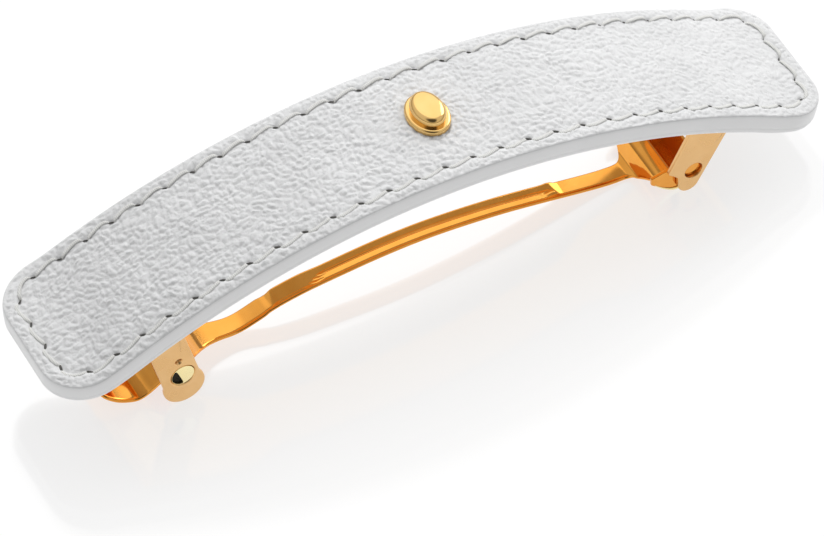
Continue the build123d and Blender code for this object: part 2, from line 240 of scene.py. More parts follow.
def strap_curve(s, depth):
    """Side view of the strap: point and outward normal at a length s and a depth below the top face."""
    s = np.asarray(s, float)
    s0 = LENGTH / 2 - END_LENGTH
    sign = np.where(s < 0, -1.0, 1.0)
    a = np.abs(s)
    inner = a <= s0
    th = np.minimum(a, s0) / ARCH
    a0 = s0 / ARCH
    cx = (ARCH + END_RADIUS) * math.sin(a0)
    cz = (ARCH + END_RADIUS) * math.cos(a0) - ARCH
    e = a0 - (a - s0) / END_RADIUS
    x = np.where(inner, ARCH * np.sin(th), cx - END_RADIUS * np.sin(e))
    z = np.where(inner, ARCH * np.cos(th) - ARCH, cz - END_RADIUS * np.cos(e))
    nx = np.where(inner, np.sin(th), np.sin(e))
    nz = np.where(inner, np.cos(th), np.cos(e))
    return sign * (x - nx * depth), z - nz * depth, sign * nx, nz


def half_width(s):
    """Half width without the round corners."""
    return WIDTH_MID / 2 + (WIDTH_END - WIDTH_MID) / 2 * (np.abs(s) / (LENGTH / 2)) ** 2


def corner(s):
    return np.where(np.asarray(s, float) < 0, CORNER_LEFT, CORNER_RIGHT)


def edge_distance(s, y):
    """Distance in from the strap's outline, in the flat leather."""
    r = corner(s)
    ax = LENGTH / 2 - np.abs(s)
    ay = half_width(s) - np.abs(y)
    rounded = r - np.hypot(np.maximum(r - ax, 0), np.maximum(r - ay, 0))
    return np.where((ax < r) & (ay < r), rounded, np.minimum(ax, ay))


def half_outline(s):
    """Half width of the outline with its round corners."""
    r = corner(s)
    ax = LENGTH / 2 - np.abs(s)
    k = np.clip(r - ax, 0, r)
    return half_width(s) - r + np.sqrt(np.maximum(r ** 2 - k ** 2, 0))


# The leather's relief

def random_grid(seed):
    return np.random.RandomState(seed).rand(GRID, GRID, 2)


def cells(x, y, size, shift, seed):
    """Nearest and second nearest distance to a jittered grid of points."""
    px, py = x / size[0] + shift, y / size[1] + shift
    jitter = random_grid(seed)
    ix, iy = np.floor(px).astype(int), np.floor(py).astype(int)
    first = np.full(px.shape, np.inf)
    second = np.full(px.shape, np.inf)
    for dx in (-2, -1, 0, 1, 2):
        for dy in (-2, -1, 0, 1, 2):
            j = jitter[(ix + dx) % GRID, (iy + dy) % GRID]
            d = np.hypot(ix + dx + j[..., 0] - px, iy + dy + j[..., 1] - py)
            second = np.where(d < first, first, np.minimum(second, d))
            first = np.minimum(first, d)
    return first, second


def smooth_noise(x, y, size, shift, seed):
    """Value noise between -1 and 1."""
    px, py = x / size[0] + shift[0], y / size[1] + shift[1]
    values = random_grid(seed)[..., 0]
    ix, iy = np.floor(px).astype(int), np.floor(py).astype(int)
    fx, fy = px - ix, py - iy
    fx, fy = fx * fx * (3 - 2 * fx), fy * fy * (3 - 2 * fy)
    a = values[ix % GRID, iy % GRID]
    b = values[(ix + 1) % GRID, iy % GRID]
    c = values[ix % GRID, (iy + 1) % GRID]
    d = values[(ix + 1) % GRID, (iy + 1) % GRID]
    return 2 * ((a * (1 - fx) + b * fx) * (1 - fy) + (c * (1 - fx) + d * fx) * fy) - 1


def wandering(value, s, y, warp, ripple):
    """A coordinate moved about by slow and by quick noise, each given by its shifts and seed."""
    slow = smooth_noise(s, y, WARP_CELL, warp[:2], warp[2])
    quick = smooth_noise(s, y, RIPPLE_CELL, ripple[:2], ripple[2])
    return value + GRAIN_ORIGIN + WARP * slow + RIPPLE * quick


def grain(s, y):
    """Height of the leather's pebbles and wrinkles, in mm."""
    qx = wandering(s, s, y, (40, 40, 1), (9, 7, 4))
    qy = wandering(y, s, y, (80, 80, 2), (3, 5, 5))
    turn = SWIRL * smooth_noise(s, y, SWIRL_CELL, shift=(20, 20), seed=3)
    ux = qx * np.cos(turn) + qy * np.sin(turn)
    uy = -qx * np.sin(turn) + qy * np.cos(turn)
    first, second = cells(qx, qy, BIG_CELL, shift=11, seed=6)
    big = 1 - np.exp(-((second - first) / BIG_VALLEY) ** 2) - BIG_DOME * first ** 2
    first, second = cells(ux, uy, SMALL_CELL, shift=31, seed=7)
    small = 1 - np.exp(-((second - first) / SMALL_VALLEY) ** 2)
    wave = smooth_noise(qx, qy, WAVE_CELL, shift=(70, 70), seed=8)
    wave = wave + FINE_WAVE * smooth_noise(ux, uy, FINE_WAVE_CELL, shift=(50, 50), seed=9)
    pebbles = BIG_HEIGHT * (big - PEBBLE_LEVEL) + SMALL_HEIGHT * (small - PEBBLE_LEVEL)
    strength = 1 - CALM * smooth_step(s, CALM_FROM, CALM_TO)
    return strength * (pebbles + WAVE_HEIGHT * wave)


def stitch_path(distance):
    """Point and direction of the stitch line, from the middle of the near side round to the left."""
    r1, r2 = CORNER_LEFT - STITCH_INSET, CORNER_RIGHT - STITCH_INSET
    a1, a2 = LENGTH / 2 - CORNER_LEFT, LENGTH / 2 - CORNER_RIGHT
    b1, b2 = (WIDTH_END / 2 - END_INSET - r for r in (CORNER_LEFT, CORNER_RIGHT))
    quarter = math.pi / 2
    parts = [
        (a1, "near"), (quarter * r1, "near left"), (2 * b1, "left"), (quarter * r1, "far left"),
        (a1 + a2, "far"), (quarter * r2, "far right"), (2 * b2, "right"), (quarter * r2, "near right"),
        (a2, "back to the start"),
    ]
    d = distance % sum(span for span, _ in parts)
    for span, key in parts:
        if d <= span:
            break
        d -= span
    if key == "near":
        return -d, -(half_width(-d) - STITCH_INSET), (-1, 0)
    if key == "near left":
        q = d / r1
        return -a1 - r1 * math.sin(q), -b1 - r1 * math.cos(q), (-math.cos(q), math.sin(q))
    if key == "left":
        return -a1 - r1, -b1 + d, (0, 1)
    if key == "far left":
        q = d / r1
        return -a1 - r1 * math.cos(q), b1 + r1 * math.sin(q), (math.sin(q), math.cos(q))
    if key == "far":
        return -a1 + d, half_width(-a1 + d) - STITCH_INSET, (1, 0)
    if key == "far right":
        q = d / r2
        return a2 + r2 * math.sin(q), b2 + r2 * math.cos(q), (math.cos(q), -math.sin(q))
    if key == "right":
        return a2 + r2, b2 - d, (0, -1)
    if key == "near right":
        q = d / r2
        return a2 + r2 * math.cos(q), -b2 - r2 * math.sin(q), (-math.sin(q), -math.cos(q))
    return a2 - d, -(half_width(a2 - d) - STITCH_INSET), (-1, 0)


def stitch_length():
    r1, r2 = CORNER_LEFT - STITCH_INSET, CORNER_RIGHT - STITCH_INSET
    straight = 2 * (LENGTH - CORNER_LEFT - CORNER_RIGHT)
    ends = 2 * (WIDTH_END - 2 * END_INSET - CORNER_LEFT - CORNER_RIGHT)
    return straight + ends + math.pi * (r1 + r2)


def stitch_holes():
    """Distances of the needle holes along the stitch line, and the step between them."""
    total = stitch_length()
    count = round(total / STITCH_PITCH)
    return [STITCH_START + i * total / count for i in range(count)], total / count


def thread_side(u):
    """How far outside the seam a thread runs, from one hole to the next."""
    return np.interp(u, (0.05, 0.2, 0.4, 0.6, 0.78, 0.9, 1.0), (-0.12, 0.06, 0.26, 0.42, 0.46, 0.36, 0.2))


def seam_relief(s, y):
    """Channels that the threads lie in, and the pull of the needle holes, in mm."""
    channel = np.zeros(s.shape)
    pull = np.zeros(s.shape)
    starts, pitch = stitch_holes()
    for start in starts:
        s0, y0, t = stitch_path(start)
        s1, y1, _ = stitch_path(start + pitch)
        near = (np.abs(s - s0) < 1.5 * pitch) & (np.abs(y - y0) < 1.5 * pitch)
        p, q = s[near] - s0, y[near] - y0
        span = math.hypot(s1 - s0, y1 - y0)
        ds, dy = (s1 - s0) / span, (y1 - y0) / span
        u = (p * ds + q * dy) / span
        v = q * ds - p * dy - thread_side(u)
        depth = smooth_step(v, *CHANNEL_OUTER) * (1 - smooth_step(v, *CHANNEL_INNER))
        depth = depth * smooth_step(u, *CHANNEL_START) * (1 - smooth_step(u, *CHANNEL_END))
        channel[near] = np.maximum(channel[near], depth)
        along, across = p * t[0] + q * t[1], q * t[0] - p * t[1]
        gx = along * math.cos(HOLE_TURN) + across * math.sin(HOLE_TURN)
        gy = across * math.cos(HOLE_TURN) - along * math.sin(HOLE_TURN)
        dip = np.exp(-(gx / PULL_SIZE[0]) ** 2 - (gy / PULL_SIZE[1]) ** 2)
        pull[near] = np.maximum(pull[near], dip)
    far_ease, right_ease = CHANNEL_EASE
    soft = (1 - far_ease * smooth_step(y, *FAR_BAND)) * (1 - right_ease * smooth_step(s, *RIGHT_BAND))
    return -CHANNEL_DEPTH * soft * channel - PULL_DEPTH * pull


def surface_height(s, y):
    """Height of the finished leather over the plain arch, in mm."""
    d = edge_distance(s, y)
    q = np.clip(d / ROLL_WIDTH, 0, 1)
    roll = -EDGE_TOP * (1 - np.sqrt(np.maximum(1 - (1 - q) ** 2, 0)))
    margin = MARGIN_RISE * np.sin(np.pi * np.clip(d / STITCH_INSET, 0, 1)) ** 2
    groove = -SEAM_DROP * np.exp(-((d - STITCH_INSET) / SEAM_WIDTH) ** 2)
    field = FIELD_RISE * (1 - np.exp(-(np.maximum(d - STITCH_INSET, 0) / FIELD_WIDTH) ** 2))
    return roll + margin + groove + field - LEATHER_SINK


# Materials

def node(nodes, kind, **values):
    """New node; each value goes to the input of that name, or else to the property."""
    n = nodes.new(kind)
    for key, value in values.items():
        if key in n.inputs:
            n.inputs[key].default_value = value
        else:
            setattr(n, key, value)
    return n


class Look:
    """Node material whose textures follow the object's own coordinates."""

    def __init__(self, name):
        self.material = bpy.data.materials.new(name)
        self.material.use_nodes = True
        self.nodes = self.material.node_tree.nodes
        self.links = self.material.node_tree.links
        self.shader = self.nodes["Principled BSDF"]
        self.place = node(self.nodes, "ShaderNodeTexCoord").outputs["Object"]

    def value(self, socket, value):
        self.shader.inputs[socket].default_value = value

    def texture(self, kind, **values):
        made = node(self.nodes, kind, **values)
        self.links.new(self.place, made.inputs["Vector"])
        return made

    def colours(self, factor, low, high, span=(0.0, 1.0)):
        """Base colour between two colours."""
        ramp = node(self.nodes, "ShaderNodeValToRGB")
        for element, position, colour in zip(ramp.color_ramp.elements, span, (low, high)):
            element.position = position
            element.color = (*colour, 1)
        self.links.new(factor, ramp.inputs["Fac"])
        self.links.new(ramp.outputs["Color"], self.shader.inputs["Base Color"])

    def mapped(self, source, socket, low, high):
        """A shader's value between two values."""
        span = node(self.nodes, "ShaderNodeMapRange")
        span.inputs["To Min"].default_value = low
        span.inputs["To Max"].default_value = high
        self.links.new(source, span.inputs["Value"])
        self.links.new(span.outputs["Result"], self.shader.inputs[socket])
        return span

    def bump(self, height, strength, distance):
        """Bump, on top of any that is there already."""
        made = node(self.nodes, "ShaderNodeBump", Strength=strength, Distance=distance)
        normal = self.shader.inputs["Normal"]
        if normal.is_linked:
            self.links.new(normal.links[0].from_socket, made.inputs["Normal"])
        self.links.new(height, made.inputs["Height"])
        self.links.new(made.outputs["Normal"], normal)


def leather_material():
    look = Look("pebbled_leather")
    tone = look.texture("ShaderNodeTexNoise", Scale=160.0, Detail=5.0)
    fine = look.texture("ShaderNodeTexVoronoi", Scale=1900.0, feature="DISTANCE_TO_EDGE")
    pores = look.texture("ShaderNodeTexNoise", Scale=5200.0, Detail=4.0)
    look.colours(tone.outputs["Fac"], (0.66, 0.662, 0.665), (0.72, 0.722, 0.725), (0.3, 0.7))
    look.value("Roughness", 0.58)
    look.value("Specular IOR Level", 0.25)
    look.bump(fine.outputs["Distance"], 0.8, 0.0001)
    look.bump(pores.outputs["Fac"], 0.3, 0.00003)
    return look.material


def paint_material():
    look = Look("painted_edge")
    tone = look.texture("ShaderNodeTexNoise", Scale=300.0, Detail=3.0)
    look.colours(tone.outputs["Fac"], (0.79, 0.792, 0.795), (0.84, 0.842, 0.845))
    look.value("Roughness", 0.38)
    look.bump(tone.outputs["Fac"], 0.15, 0.00005)
    return look.material


def shaded_lining_material():
    look = Look("lining_painted_shade")
    tone = look.texture("ShaderNodeTexVoronoi", Scale=1400.0)
    # Darker than the top leather: painted shade for the dim light under the strap
    look.colours(tone.outputs["Distance"], (0.46, 0.455, 0.45), (0.53, 0.525, 0.52))
    look.value("Roughness", 0.6)
    look.bump(tone.outputs["Distance"], 0.25, 0.00005)
    return look.material


def thread_material():
    look = Look("sewing_thread")
    twist = look.texture("ShaderNodeTexWave", Scale=1500.0, Distortion=1.5)
    look.colours(twist.outputs["Fac"], (0.62, 0.62, 0.60), (0.70, 0.70, 0.68))
    look.value("Roughness", 0.7)
    look.bump(twist.outputs["Fac"], 0.4, 0.00006)
    return look.material


def hole_material(name, low, high, warm=0.03):
    """Dark inside of a hole, painted shade, between two greys; warm takes some green and more blue away."""
    look = Look(name)
    tone = look.texture("ShaderNodeTexNoise", Scale=3000.0)
    dark, light = ((v, v * (1 - warm), v * (1 - 3 * warm)) for v in (low, high))
    look.colours(tone.outputs["Fac"], dark, light)
    look.value("Roughness", 0.9)
    return look.material


def gold_material(name, dark, light, rough_low, rough_high):
    look = Look(name)
    tone = look.texture("ShaderNodeTexNoise", Scale=420.0, Detail=4.0)
    look.colours(tone.outputs["Fac"], dark, light, (0.35, 0.65))
    look.mapped(tone.outputs["Fac"], "Roughness", rough_low, rough_high)
    look.value("Metallic", 1.0)
    look.bump(tone.outputs["Fac"], 0.03, 0.00004)
    return look.material


def floor_material():
    """Pale sheet; its reflection fades away towards the camera."""
    look = Look("pale_floor")
    look.value("Base Color", (0.22, 0.22, 0.22, 1))
    look.value("Emission Color", (1, 1, 1, 1))
    look.value("Roughness", 0.07)
    look.value("IOR", 1.8)
    split = node(look.nodes, "ShaderNodeSeparateXYZ")
    look.links.new(look.place, split.inputs["Vector"])
    for socket, front, under in (("Specular IOR Level", 0.05, 0.5), ("Emission Strength", 0.79, 0.71)):
        fade = look.mapped(split.outputs["Y"], socket, front, under)
        fade.interpolation_type = "SMOOTHSTEP"
        fade.inputs["From Min"].default_value = -0.027
        fade.inputs["From Max"].default_value = -0.001
    return look.material


# Meshes

def add_object(name, data):
    made = bpy.data.objects.new(name, data)
    bpy.context.collection.objects.link(made)
    return made


def mesh_piece(name, points, faces, mat):
    """Smooth piece from points in metres and faces."""
    mesh = bpy.data.meshes.new(name)
    vertices = [tuple(p) for p in np.asarray(points).reshape(-1, 3)]
    mesh.from_pydata(vertices, [], [tuple(f) for f in faces])
    mesh.polygons.foreach_set("use_smooth", [True] * len(mesh.polygons))
    mesh.materials.append(mat)
    mesh.update()
    return add_object(name, mesh)


def grid_faces(rows, columns, flip=False, around=False, closed=False):
    """Quads between rows of points; around joins each row's ends, closed joins the last row to the first."""
    faces = []
    for i in range(rows if closed else rows - 1):
        n = (i + 1) % rows
        for j in range(columns if around else columns - 1):
            k = (j + 1) % columns
            quad = (i * columns + j, i * columns + k, n * columns + k, n * columns + j)
            faces.append(quad[::-1] if flip else quad)
    return faces


def shifted(faces, start):
    return [tuple(start + point for point in face) for face in faces]


def closed_strip(name, rings, mat):
    """Solid through a run of closed sections, capped at both ends."""
    sides = len(rings[0])
    faces = grid_faces(len(rings), sides, True, True)
    faces.append(tuple(range(sides)))
    faces.append(tuple((len(rings) - 1) * sides + q for q in range(sides))[::-1])
    return mesh_piece(name, rings, faces, mat)


# Strap pieces

def strap_stations():
    """Lengths along the strap, closer together round the corners."""
    left = LENGTH / 2 - CORNER_LEFT
    right = LENGTH / 2 - CORNER_RIGHT
    turn = np.sin(np.radians(np.linspace(2.2, 90, CORNER_STEPS)))
    middle = np.arange(-left, right, STATION_STEP)
    return np.concatenate([(-left - CORNER_LEFT * turn)[::-1], middle, right + CORNER_RIGHT * turn])


def strap_rows():
    """Shares of the half width, closer together next to the edges."""
    side = 1 - np.array(RIM_ROWS) / (WIDTH_MID / 2)
    inner = np.linspace(side[-1] - 0.02, 0, INNER_ROWS)
    half = np.concatenate([side, inner])
    return np.concatenate([-half, half[-2::-1]])


def on_leather(s, y, height):
    x, z, nx, nz = strap_curve(s, 0)
    return placed(x + nx * height, y, z + nz * height)


def strap_top(s, v, mat):
    S, V = np.meshgrid(s, v, indexing="ij")
    Y = V * half_outline(S)
    d = edge_distance(S, Y)
    pressed = PRESSED * np.exp(-((d - PRESSED_AT) / PRESSED_WIDTH) ** 2)
    fade = np.clip(d / GRAIN_START, 0, 1) * (1 - pressed)
    height = surface_height(S, Y) + grain(S, Y) * fade + seam_relief(S, Y)
    return mesh_piece("strap_leather", on_leather(S, Y, height), grid_faces(len(s), len(v)), mat)


def rim_path(s, v):
    """Outline of the strap, in order: points as length and width, and outward directions."""
    half = half_outline(s)
    points = list(zip(s, -half))
    points += [(s[-1], share * half[-1]) for share in v[1:]]
    points += list(zip(s[-2::-1], half[-2::-1]))
    points += [(s[0], share * half[0]) for share in v[-2:0:-1]]
    p = np.array(points)
    p = p[np.hypot(*(p - np.roll(p, 1, 0)).T) > 1e-4]
    t = np.roll(p, -1, 0) - np.roll(p, 1, 0)
    n = np.stack([t[:, 1], -t[:, 0]], -1)
    return p, n / np.linalg.norm(n, axis=1)[:, None]


def strap_wall(p, n, mat):
    """Painted band round the outline."""
    rings = []
    for depth, out in EDGE_PROFILE:
        s = p[:, 0] + n[:, 0] * out
        y = p[:, 1] + n[:, 1] * out
        x, z, _, _ = strap_curve(s, depth)
        rings.append(placed(x, y, z))
    return mesh_piece("strap_edge", np.concatenate(rings), grid_faces(len(rings), len(p), True, True), mat)


def strap_under(mat):
    """Underside, slightly inside the painted edge."""
    s = np.linspace(0.05 - LENGTH / 2, LENGTH / 2 - 0.05, UNDER_GRID[0])
    v = np.linspace(-1, 1, UNDER_GRID[1])
    S, V = np.meshgrid(s, v, indexing="ij")
    Y = V * (half_outline(S) - UNDER_INSET)
    S = S * (1 - UNDER_INSET / (LENGTH / 2))
    x, z, _, _ = strap_curve(S, THICK - 0.01)
    return mesh_piece("strap_underside", placed(x, Y, z), grid_faces(len(s), len(v), True), mat)


def thread_points(start, pitch, radius, bow):
    """Rings of one thread, which dives into the leather at both ends."""
    points = []
    for k in range(THREAD_RINGS):
        u = THREAD_FROM + THREAD_SPAN * (k / (THREAD_RINGS - 1))
        s, y, t = stitch_path(start + pitch * u)
        side = thread_side(u) + bow * math.sin(math.pi * u)
        s, y = s - t[1] * side, y + t[0] * side
        rise = THREAD_RISE * max(smooth_step(s, *THREAD_RISE_BAND), smooth_step(y, *FAR_BAND))
        first_dive = THREAD_DIVE * max(0, (DIVE_FIRST - u) / DIVE_SPAN) ** 2
        last_dive = THREAD_DIVE * max(0, (u - DIVE_LAST) / DIVE_SPAN) ** 2
        lift = -THREAD_SINK + rise - first_dive - last_dive
        thick = radius * (1 - THREAD_TAPER * abs(2 * u - 1) ** 5)
        for a in full_turn(THREAD_SIDES):
            ds, dy = -t[1] * math.cos(a) * thick, t[0] * math.cos(a) * thick
            points.append(on_leather(s + ds, y + dy, lift + math.sin(a) * thick * THREAD_FLAT))
    return points


def hole_points(start):
    """Middle and two rings of one needle hole, slanted to the seam; its dark material is painted shade in a
    shallow dip.
    """
    s, y, t = stitch_path(start)
    points = [on_leather(s, y, HOLE_MIDDLE)]
    right_shrink, far_shrink = HOLE_SHRINK
    size = 1 - right_shrink * smooth_step(s, *HOLE_SHRINK_BAND) - far_shrink * (y > 0)
    c, d = math.cos(HOLE_TURN), math.sin(HOLE_TURN)
    for share, height in HOLE_RINGS:
        for a in full_turn(HOLE_SIDES):
            u, w = HOLE_LENGTH * size * share * math.cos(a), HOLE_WIDTH * size * share * math.sin(a)
            along, across = u * c - w * d, u * d + w * c
            hole_s = s + t[0] * along - t[1] * across
            hole_y = y + t[1] * along + t[0] * across
            points.append(on_leather(hole_s, hole_y, height))
    return points


def stitches(mat, dark):
    """Slanted threads, and the needle holes between them, shallow dips darkened with painted shade."""
    tube = grid_faces(THREAD_RINGS, THREAD_SIDES, False, True)
    tube.append(tuple(range(THREAD_SIDES))[::-1])
    tube.append(tuple((THREAD_RINGS - 1) * THREAD_SIDES + q for q in range(THREAD_SIDES)))
    pit = []
    for q in range(1, HOLE_SIDES + 1):
        r = q % HOLE_SIDES + 1
        pit += [(0, q, r), (q, HOLE_SIDES + q, HOLE_SIDES + r, r)]
    rnd = np.random.RandomState(5)
    starts, pitch = stitch_holes()
    threads, thread_faces, holes, hole_faces = [], [], [], []
    for start in starts:
        radius = THREAD_RADIUS + THREAD_SPREAD * rnd.rand()
        bow = THREAD_BOW * (rnd.rand() - 0.5)
        thread_faces += shifted(tube, len(threads))
        threads += thread_points(start, pitch, radius, bow)
        hole_faces += shifted(pit, len(holes))
        holes += hole_points(start)
    return (mesh_piece("edge_stitches", threads, thread_faces, mat),
            mesh_piece("needle_holes", holes, hole_faces, dark))


# Locking bar pieces

def catmull(points, per):
    """Smooth run through the points."""
    p = np.array(points, float)
    p = np.vstack([2 * p[0] - p[1], p, 2 * p[-1] - p[-2]])
    out = []
    for a, b, c, d in zip(p, p[1:], p[2:], p[3:]):
        for u in np.arange(per) / per:
            square = (2 * a - 5 * b + 4 * c - d) * u ** 2
            cube = (3 * b - 3 * c + d - a) * u ** 3
            out.append(0.5 * (2 * b + (c - a) * u + square + cube))
    out.append(p[-2])
    return np.array(out)


def bar_section(half, x):
    """Closed cross-section as (across, height): a rib along the near half, a groove and a tilted far half."""
    r = BAR_SHEET / 2
    rib = smooth_step(x, *RIB_START) * (1 - smooth_step(x, *RIB_END))
    groove = GROOVE_AT - (half + GROOVE_PAST) * (1 - smooth_step(x, *GROOVE_START))
    groove -= (half + GROOVE_PAST) * smooth_step(x, *GROOVE_END)
    near = NEAR_ROUND[0] if half < BAR_NARROW else NEAR_ROUND[1]
    section = []
    for across in np.linspace(near - half, half - BAR_CORNER, 31):
        past = across - groove
        height = RIB_TILT * max(past, 0) - GROOVE_DEPTH * math.exp(-((past + 0.02) / GROOVE_WIDTH) ** 2)
        section.append((across, rib * height))
    far_height = section[-1][1]
    section += arc(half - BAR_CORNER, far_height - r, BAR_CORNER, r, np.radians((60, 30, 0, -30, -60)))
    section += [(u * (half - BAR_CORNER), -BAR_SHEET) for u in (1, 0.5, 0, -0.5, -1)]
    section += arc(-half + BAR_CORNER, -r, BAR_CORNER, r, np.radians((240, 210, 180)))
    section += arc(near - half, -r, near, r, np.radians((165, 150, 135, 120, 105)))
    return section


def locking_bar(mat):
    line = catmull(BAR_LINE, 7)
    tangent = np.gradient(line[:, :2], axis=0)
    tangent /= np.linalg.norm(tangent, axis=1)[:, None]
    rings = []
    for (x, z, half), (tx, tz) in zip(line, tangent):
        across, height = np.array(bar_section(max(half, 0.5), x)).T
        rings.append(placed(x - tz * height, CLIP_Y + across, z + tx * height))
    return closed_strip("bar_strip", rings, mat)


def rounded_plate(name, outline, y0, y1, bevel, mat):
    """Flat sheet piece with rounded edges, from a side-view outline in mm."""
    bm = bmesh.new()
    bm.faces.new([bm.verts.new(placed(x, y0, z)) for x, z in outline])
    extruded = bmesh.ops.extrude_face_region(bm, geom=bm.faces[:])["geom"]
    moved = [v for v in extruded if isinstance(v, bmesh.types.BMVert)]
    bmesh.ops.translate(bm, vec=Vector((0, (y1 - y0) * MM, 0)), verts=moved)
    bmesh.ops.recalc_face_normals(bm, faces=bm.faces[:])
    mesh = bpy.data.meshes.new(name)
    bm.to_mesh(mesh)
    bm.free()
    mesh.materials.append(mat)
    piece = add_object(name, mesh)
    mod = piece.modifiers.new("edge", "BEVEL")
    mod.width = bevel * MM
    mod.segments = 3
    mod.limit_method = "ANGLE"
    mod.angle_limit = math.radians(50)
    return piece


def bar_lug(side, mat):
    """Lug under the plate's side, round the pin."""
    outline = [(27.0, -17.6), (27.1, -18.6), (28.2, -19.5), (29.8, -20.4), (30.8, -20.62), (31.6, -20.2)]
    outline += arc(*PIN, LUG_RADIUS, LUG_RADIUS, np.radians(range(-70, 130, 15)))
    outline += [(29.8, -17.0), (28.2, -17.3)]
    y0, y1 = sorted((CLIP_Y + side * BAR_OUTER, CLIP_Y + side * (BAR_OUTER - BAR_SHEET)))
    return rounded_plate(f"bar_lug_{side_word(side)}", outline, y0, y1, 0.1, mat)


def lug_bead(side, mat):
    """Rounded lower lip of a lug."""
    a = np.array(full_turn(12))
    rings = []
    for x, z, r in catmull(LUG_LIP, 5):
        y = CLIP_Y + side * (5.0 + r * np.cos(a))
        rings.append(placed(x - 0.4 * r * np.sin(a), y, z + r * np.sin(a)))
    return closed_strip(f"lug_lip_{side_word(side)}", rings, mat)


def turned_piece(name, centre, side, profile, count, mat):
    """Round piece across the clip; the profile gives distances from its middle, with radii."""
    points = []
    for y, r in profile:
        for a in full_turn(count):
            points.append(placed(centre[0] + r * math.cos(a), CLIP_Y + side * y, centre[1] + r * math.sin(a)))
    return mesh_piece(name, points, grid_faces(len(profile), count, side < 0, True), mat)


def bar_pin(side, mat):
    profile = [(4.8, PIN_RADIUS), (5.3, PIN_RADIUS), (5.38, 0.98), (5.41, 0.88), (5.38, 0.5), (5.37, TIP)]
    return turned_piece(f"bar_pin_{side_word(side)}", PIN, side, profile, 32, mat)


# Base and spring pieces

def arch_sheet(name, angles, half_widths, top, mat):
    """Sheet that follows the strap's arch, with rounded edges."""
    rings = []
    r = SHEET / 2
    for angle, half in zip(angles, half_widths):
        section = [(u * (half - r), 0) for u in np.linspace(-1, 1, 9)]
        section += arc(half - r, -r, r, r, np.radians((60, 30, 0, -30, -60)))
        section += [(u * (half - r), -SHEET) for u in np.linspace(1, -1, 9)]
        section += arc(r - half, -r, r, r, np.radians((240, 210, 180, 150, 120)))
        across, height = np.array(section).T
        radius = ARCH - top + height
        rings.append(placed(radius * math.sin(angle), CLIP_Y + across, radius * math.cos(angle) - ARCH))
    return closed_strip(name, rings, mat)


def resample(points, count):
    """Even steps round a closed outline."""
    p = np.vstack([points, points[:1]])
    length = np.concatenate([[0], np.cumsum(np.hypot(*np.diff(p, axis=0).T))])
    at = np.linspace(0, length[-1], count, endpoint=False)
    return np.stack([np.interp(at, length, p[:, 0]), np.interp(at, length, p[:, 1])], -1)


def inset(p, amount):
    """Closed outline moved inwards."""
    t = np.roll(p, -1, 0) - np.roll(p, 1, 0)
    t /= np.linalg.norm(t, axis=1)[:, None]
    return p + np.stack([-t[:, 1], t[:, 0]], -1) * amount


def pierced_plate(name, outline, hole, outer, thick, side, mat, relief=None, bevel=0.12):
    """Flat plate with a hole and rounded edges; the outline and the hole have matching points."""
    arcs = np.radians((0, 30, 60, 90))
    rings = [(inset(hole, -bevel * (1 - math.cos(a))), bevel * (1 - math.sin(a))) for a in arcs]
    a, b = inset(hole, -bevel), inset(outline, bevel)
    gap = np.linalg.norm(b - a, axis=1)
    fine = np.minimum(1.6, 0.8 * gap) / gap     # share of the face that has close rings, for the relief
    rings += [(a + (b - a) * (fine * k / 24)[:, None], 0) for k in range(1, 25)]
    rings += [(a + (b - a) * (fine + (1 - fine) * k / 5)[:, None], 0) for k in range(1, 6)]
    for turn in arcs[::-1][1:]:
        rings.append((inset(outline, bevel * (1 - math.cos(turn))), bevel * (1 - math.sin(turn))))
    back = [(p, thick - d) for p, d in rings if d > 0][::-1]
    rings += back[:3] + [(b, thick), (a, thick)] + back[3:]
    points = []
    for p, depth in rings:
        height = relief(p[:, 0], p[:, 1]) if relief and depth == 0 else 0
        points.append(placed(p[:, 0], CLIP_Y + side * (outer - depth + height), p[:, 1]))
    faces = grid_faces(len(rings), len(outline), side < 0, True, True)
    return mesh_piece(name, points, faces, mat)


def circle_facing(centre, radius, outline):
    """Circle whose points lie in line with an outline's points."""
    d = outline - centre
    return centre + d / np.linalg.norm(d, axis=1)[:, None] * radius


def hinge_ear(side, mat):
    """Ear of the base round the pin, drawn along and across a line from the arch's centre to the pin."""
    lean = math.radians(PIN_LEAN)
    top = ARCH - EAR_TOP
    local = [(u, math.sqrt(top ** 2 - u ** 2) - PIN_REACH) for u in np.linspace(1.62, -3.68, 12)]
    local += [(-3.28, -0.7), (-2.6, -0.85), (-1.68, -1.15), (-1.25, -1.8), (-0.756, -2.6), (-0.4, -2.9)]
    local += arc(0.3, -1.77, 1.32, 1.32, np.radians(np.linspace(-100, 0, 12)))
    u, v = np.array(local).T
    x = PIN[0] + u * math.cos(lean) + v * math.sin(lean)
    z = PIN[1] - u * math.sin(lean) + v * math.cos(lean)
    outline = resample(np.stack([x, z], -1), 160)
    hole = circle_facing(np.array(PIN), PIN_HOLE, outline)
    return pierced_plate(f"hinge_ear_{side_word(side)}", outline, hole, CLIP_HALF, SHEET, side, mat)


def on_clasp_ear(x, y):
    """Point of a clasp ear, drawn across and up from the middle of its round end."""
    c, s = math.cos(math.radians(EAR_LEAN)), math.sin(math.radians(EAR_LEAN))
    return np.array([LOBE[0] + x * c - y * s, LOBE[1] + x * s + y * c])


def ear_top(x):
    """Height at which a clasp ear reaches the spring's web."""
    for y in np.arange(5.0, 20.0, 0.01):
        if np.hypot(*(on_clasp_ear(x, y) + (0, ARCH))) > ARCH - WEB_DEPTH:
            return y


